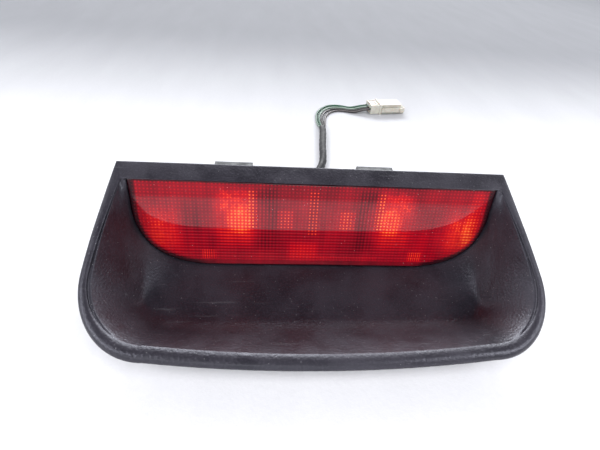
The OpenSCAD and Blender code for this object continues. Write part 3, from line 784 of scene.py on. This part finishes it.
def lens_material():
    """Red acrylic: square prisms and ribs on the inside under a smooth glossy face; the light that
    shows through it, with glints in the prisms and glows over the bulbs, is painted into its
    colour.
    """
    n = Nodes("lens_acrylic")
    xyz = n.add("SeparateXYZ", Vector=n.coord.outputs["Object"]).node
    x = n.math("MULTIPLY", xyz.outputs[0], 1000.0)
    y = n.math("SUBTRACT", n.math("MULTIPLY", xyz.outputs[1], 1000.0), float(STAND[1]))
    z = n.math("SUBTRACT", n.math("MULTIPLY", xyz.outputs[2], 1000.0), float(STAND[2]))
    up = n.math("ADD", n.math("MULTIPLY", z, CL), n.math("MULTIPLY", y, SL))
    side = n.math("ABSOLUTE", x)

    def wave(v, pitch, power=1.0):
        """Rounded stripes of that pitch, 0 to 1."""
        c = n.math("COSINE", n.math("MULTIPLY", v, 2 * math.pi / pitch))
        return n.math("POWER", n.math("MULTIPLY_ADD", c, 0.5, 0.5), power)

    def span(v, low, high, soft):
        """1 between low and high, 0 outside."""
        return n.math("MULTIPLY", n.ramp(v, low - soft, low + soft),
                      n.ramp(v, high + soft, high - soft))

    def patch(u0, u1, v0, v1, soft, value, axis=None):
        """Value inside a soft box: u0 to u1 across and v0 to v1 up, mirrored unless axis is x."""
        p = n.math("MULTIPLY", span(axis or side, u0, u1, soft), span(up, v0, v1, soft))
        return n.math("MULTIPLY", p, value)

    def glow(u0, v0, wide, high):
        """Round soft spot mirrored left and right, for the painted glow over the bulbs."""
        du = n.math("DIVIDE", n.math("SUBTRACT", side, u0), wide)
        dv = n.math("DIVIDE", n.math("SUBTRACT", up, v0), high)
        d2 = n.math("ADD", n.math("MULTIPLY", du, du), n.math("MULTIPLY", dv, dv))
        return n.math("POWER", n.ramp(d2, 1.6, 0.0), 1.2)

    def total(*parts):
        out = parts[0]
        for part in parts[1:]:
            out = n.math("ADD", out, part)
        return out

    col_pitch, rib_pitch = 2.2, 2.1
    cols, ribs = wave(x, col_pitch), wave(up, rib_pitch)
    # the dots are painted glints, one in each prism cell; they also shape the relief
    dots = n.math("POWER", n.math("MULTIPLY", cols, ribs), 1.6)
    cell = n.add("TexWhiteNoise", props={"noise_dimensions": "2D"}, Vector=n.add(
        "CombineXYZ", X=n.math("FLOOR", n.math("DIVIDE", x, col_pitch)),
        Y=n.math("FLOOR", n.math("DIVIDE", up, rib_pitch))))
    panel = n.noise(24.0, 2.0, 0.5)
    streak = n.add("TexNoise", Scale=1.0, Detail=2.0, Vector=n.add(
        "Mapping", Vector=n.coord.outputs["Object"], Scale=(260.0, 30.0, 30.0)))
    lower = n.ramp(up, 27.5, 24.5)
    grid = n.math("MULTIPLY", dots, n.math("MULTIPLY_ADD", cell, 0.5, 0.5))
    broken = n.math("MULTIPLY", ribs, n.math("MULTIPLY_ADD", cols, 0.5, 0.5))
    fine = n.mix(lower, n.math("MULTIPLY_ADD", grid, 0.36, 0.09),
                 n.math("MULTIPLY_ADD", broken, 0.24, 0.06))
    fine = n.math("MULTIPLY", fine, n.ramp(up, 3.6, 4.4))
    # painted light: the light that shows through the lens runs from unlit dark red to the
    # yellow-red of the painted glows over the bulbs
    painted_light = total(
        n.math("MULTIPLY", n.math("MULTIPLY_ADD", panel, 0.75, 0.05), 0.5), fine,
        n.math("MULTIPLY_ADD", streak, 0.2, -0.1),
        n.math("MULTIPLY", glow(49, 33, 19, 17), 0.22),
        n.math("MULTIPLY", glow(48, 32, 8.5, 9.5), n.math("MULTIPLY_ADD", dots, 0.2, 0.3)),
        patch(41, 61, 38, 51, 4.0, n.math("MULTIPLY_ADD", cell, 0.18, 0.1)),
        patch(40, 62, 13, 26, 4.0, n.math("MULTIPLY", ribs, 0.2)),
        patch(37.5, 42.5, 26, 52, 0.5, n.math("MULTIPLY", dots, 0.55)),
        patch(15, 24.5, 26, 39, 1.2, n.math("MULTIPLY_ADD", dots, 0.34, 0.1)),
        patch(-5, 1.5, 22, 52, 0.8, n.math("MULTIPLY", dots, 0.5), axis=x),
        patch(86, 104, 12, 36, 7.0, n.math("MULTIPLY_ADD", cell, 0.1, 0.24)),
        patch(98, 107, 16, 54, 3.0, n.math("MULTIPLY_ADD", ribs, 0.1, 0.14), axis=x),
        patch(-17, 2, 4, 17, 3.5, n.math("MULTIPLY_ADD", dots, 0.12, 0.18), axis=x),
        patch(63, 72, 4.5, 11, 0.6, n.math("MULTIPLY", wave(x, 1.4, 2.0), 0.4)),
        patch(2, 42, 4.5, 7.5, 0.6, n.math("MULTIPLY", wave(x, 1.1, 1.5), 0.2), axis=x),
        patch(26, 37, 12, 53, 3.0, n.math("MULTIPLY_ADD", cols, 0.1, -0.13)),
        patch(63, 84, 26, 44, 5.0, -0.07),
        n.math("MULTIPLY", n.ramp(up, 4.4, 3.6), 0.03),
    )
    # distance to the curved lower corner, from the outline's own equation
    w = n.math("DIVIDE", n.math("SUBTRACT", side, CORNER_X), CORNER_W)
    w = n.math("MAXIMUM", w, 0.001)
    v = n.math("MAXIMUM", n.math("MULTIPLY_ADD", up, -1 / CORNER_H, 1.0), 0.0)
    inside = n.math("SUBTRACT", n.math("SUBTRACT", 1.0, n.math("MULTIPLY", v, v)),
                    n.math("POWER", w, CORNER_POWER))
    slope_v = n.math("MULTIPLY", v, 2 / CORNER_H)
    slope_w = n.math("MULTIPLY", n.math("POWER", w, CORNER_POWER - 1), CORNER_POWER / CORNER_W)
    slope = n.math("SQRT", n.math("ADD", n.math("MULTIPLY", slope_v, slope_v),
                                  n.math("MULTIPLY", slope_w, slope_w)))
    edge = n.math("DIVIDE", inside, n.math("MAXIMUM", slope, 0.001))
    corner = n.ramp(side, 58.0, 90.0)
    dark = n.math("MULTIPLY", n.ramp(edge, 4.6, 0.8), corner)
    for value, low, high, much in ((side, 109.0, 111.2, 0.9), (up, 54.4, 55.4, 0.45),
                                   (up, 1.3, 0.5, 0.7)):
        dark = n.math("MAXIMUM", dark, n.math("MULTIPLY", n.ramp(value, low, high), much))
    # less painted light along the edges of the lens and round its lower corners
    painted_light = n.math("SUBTRACT", painted_light, n.math("MULTIPLY", dark, 0.5))
    ramp = n.tree.nodes.new("ShaderNodeValToRGB")
    stops = [(0.0, (0.02, 0.0003, 0.003)), (0.16, (0.09, 0.0004, 0.005)),
             (0.38, (0.26, 0.0005, 0.009)), (0.62, (0.5, 0.001, 0.007)),
             (0.82, (0.75, 0.02, 0.008)), (0.94, (0.9, 0.09, 0.015)), (1.0, (0.95, 0.2, 0.04))]
    for pos, _ in stops[1:-1]:
        ramp.color_ramp.elements.new(pos)
    for el, (pos, tone) in zip(ramp.color_ramp.elements, stops):
        el.position, el.color = pos, (*tone, 1)
    n.tree.links.new(painted_light, ramp.inputs[0])
    dust = n.specks(260.0, 0.075)
    color = n.mix(n.math("MULTIPLY", dust, 0.35), ramp.outputs[0], (0.75, 0.55, 0.55))
    relief = n.mix(lower, dots, n.math("POWER", ribs, 1.5))
    relief = n.math("MULTIPLY", relief, n.ramp(up, 4.0, 5.0))
    return n.finish(color, 0.34, n.bump(relief, 0.45, 0.0004), Coat_Weight=0.8,
                    Coat_Roughness=0.02, Coat_IOR=1.45, Specular_IOR_Level=0.08)


def lens_mesh(mat):
    """Moulded lens: flat glossy face with a rolled edge, and its skirt."""
    parts, top_parts, middle = 120, 60, 30.0
    edge = [lens_edge(3 * k / parts, 0) for k in range(parts + 1)]
    top = [(LENS_HALF * (1 - 2 * k / top_parts), LENS_H) for k in range(1, top_parts)]
    loop = np.array(edge + top + [(-x, z) for x, z in reversed(edge[1:])])
    # each ring is the outline drawn in towards the middle by so much, at depth y
    profile = ((0, 4.6), (0, 1.5), (0.08, 1.1), (0.3, 0.78), (0.62, 0.58), (1.1, 0.5), (1.4, 0.5))
    n, verts, faces = len(loop), [], []
    for shrink, y in profile:
        for d in loop - [0, middle]:
            q = d * (1 - shrink / np.linalg.norm(d))
            verts.append(V(lens_pt(q[0], y, q[1] + middle)))
    for i in range(len(profile) - 1):
        for k in range(n):
            faces.append((i * n + k, i * n + (k + 1) % n, (i + 1) * n + (k + 1) % n,
                          (i + 1) * n + k))
    faces.append(tuple((len(profile) - 1) * n + k for k in range(n)))
    faces.append(tuple(reversed(range(n))))
    ob = mesh_object("lens_body", verts, faces, mat)
    for poly in ob.data.polygons:
        poly.use_smooth = len(poly.vertices) == 4
    return ob


finish_piece(lens_mesh(lens_material()), "lamp", "lens_red", "lens")


# ---------------------------------------------------------------- the other CAD nodes

def bulb_glass():
    """Thin clear glass with a faint smoky bloom where the bulb has burned."""
    n = Nodes("bulb_glass")
    bloom = n.noise(240.0, 3.0, 0.6)
    color = n.mix(n.ramp(bloom, 0.45, 0.8), (0.96, 0.97, 0.98), (0.6, 0.58, 0.56))
    value = n.ramp(bloom, 0.3, 0.8, 0.02, 0.16)
    return n.finish(color, value, n.bump(bloom, 0.1, 0.0001), Transmission_Weight=1.0, IOR=1.5)


def pair(*names):
    return [f"{name}_{side}" for name in names for side in ("left", "right")]


dress(plastic("housing_plastic", (0.3, 0.305, 0.31), (0.2, 0.203, 0.206), (0.46, 0.62),
              dirt=(0.08, 0.075, 0.07)), 0.3, "lamp_housing")
dress(plastic("seal_foam", (0.03, 0.03, 0.031), (0.012, 0.012, 0.012), (0.8, 0.95), 1.0,
              grain_scale=900.0), 0.0, "lens_seal")
dress(metal("mirror_film", (0.86, 0.87, 0.89), (0.06, 0.16), 0.1), 0.0, *pair("reflector"))
dress(bulb_glass(), 0.0, *pair("bulb_glass"))
dress(metal("filament_metal", (0.34, 0.33, 0.35), (0.3, 0.5)), 0.0, *pair("filament"))
dress(metal("lead_nickel", (0.62, 0.6, 0.56), (0.25, 0.45)), 0.0, *pair("bulb_wires"))
dress(plastic("socket_plastic", (0.035, 0.035, 0.038), (0.02, 0.02, 0.022), (0.4, 0.56)), 0.3,
      *pair("socket"))
dress(plastic("seal_rubber", (0.022, 0.022, 0.023), (0.012, 0.012, 0.013), (0.6, 0.8), 0.8), 0.0,
      *pair("socket_seal"))
dress(metal("contact_brass", (0.6, 0.42, 0.18), (0.22, 0.42)), 0.0, *pair("socket_contacts"))
dress(metal("clip_steel", (0.11, 0.112, 0.115), (0.55, 0.72), 0.5), 0.12,
      *pair("retaining_clip", "clip_tongue"))
dress(metal("screw_zinc", (0.55, 0.55, 0.52), (0.28, 0.5), 0.4), 0.1, "housing_screws")


# ---------------------------------------------------------------- surroundings

def floor_material():
    """White sheet: faint speckle and folds, white round the lamp and greyer far behind it; the
    greying is painted shade where the light falls off, and the folds are bumps and also painted
    shade in the colour.
    """
    n = Nodes("studio_floor")
    xyz = n.add("SeparateXYZ", Vector=n.coord.outputs["Object"]).node
    # painted shade: the sheet greys further from the lamp, where the light falls off
    far = n.ramp(xyz.outputs[1], -0.15, 0.6)
    fold = n.add("TexNoise", Scale=1.0, Detail=3.0, Vector=n.add(
        "Mapping", Vector=n.coord.outputs["Object"], Rotation=(0, 0, 0.5), Scale=(26.0, 7.0, 7.0)))
    speck = n.noise(330.0, 3.0, 0.7)
    # the folds darken the colour as painted shade; the speckle is the sheet's own
    tone = n.math("ADD", n.math("MULTIPLY_ADD", fold, 0.12, 0.86),
                  n.math("MULTIPLY_ADD", speck, 0.08, -0.04))
    color = n.mix(1.0, n.mix(far, (0.86, 0.86, 0.88), (0.24, 0.245, 0.26)), tone, "MULTIPLY")
    height = n.math("ADD", n.math("MULTIPLY", speck, 0.15), fold)
    return n.finish(color, 0.85, n.bump(height, 0.25, 0.004), Specular_IOR_Level=0.1)


floor = mesh_object("floor", [(-4, -2.5, 0), (4, -2.5, 0), (4, 6, 0), (-4, 6, 0)],
                    [(0, 1, 2, 3)], floor_material(), smooth=False)

world = bpy.data.worlds.new("studio")
bpy.context.scene.world = world
world.use_nodes = True
wt = world.node_tree
way = wt.nodes.new("ShaderNodeTexCoord")
split = wt.nodes.new("ShaderNodeSeparateXYZ")
sky = wt.nodes.new("ShaderNodeValToRGB")
wt.links.new(way.outputs["Generated"], split.inputs[0])
wt.links.new(split.outputs[2], sky.inputs[0])
wt.links.new(sky.outputs[0], wt.nodes["Background"].inputs[0])
# bright low sky, dark overhead, so that the bowl of the cover stays dark
for el, pos, tone in zip(sky.color_ramp.elements, (0.25, 0.8),
                         ((0.9, 0.93, 1.0, 1), (0.2, 0.21, 0.25, 1))):
    el.position, el.color = pos, tone
wt.nodes["Background"].inputs[1].default_value = 0.6
bpy.context.scene.view_settings.view_transform = "Standard"


def area_light(name, place, aim, size, power, tone=(1, 1, 1)):
    """Soft rectangular light in metres and watts."""
    data = bpy.data.lights.new(name, "AREA")
    data.shape, data.size, data.size_y = "RECTANGLE", size[0], size[1]
    data.energy, data.color = power, tone
    ob = link(bpy.data.objects.new(name, data))
    ob.location = place
    ob.rotation_euler = (Vector(aim) - Vector(place)).to_track_quat("-Z", "Y").to_euler()


area_light("back_window", (0.2, 3.0, 1.95), (0, 0, 0), (3.8, 1.1), 210, (0.97, 0.98, 1.0))
area_light("front_fill", (-0.3, -1.5, 0.7), (0, 0, 0.02), (1.6, 0.6), 9)
for e in (-1, 1):
    area_light("side_box", (1.1 * e, -0.6, 1.1), (0, -0.25, 0), (0.8, 0.8), 20, (0.97, 0.97, 1))
    area_light("rear_box", (1.2 * e, 0.75, 0.62), (0, -0.03, 0), (0.7, 0.5), 4, (0.97, 0.97, 1))
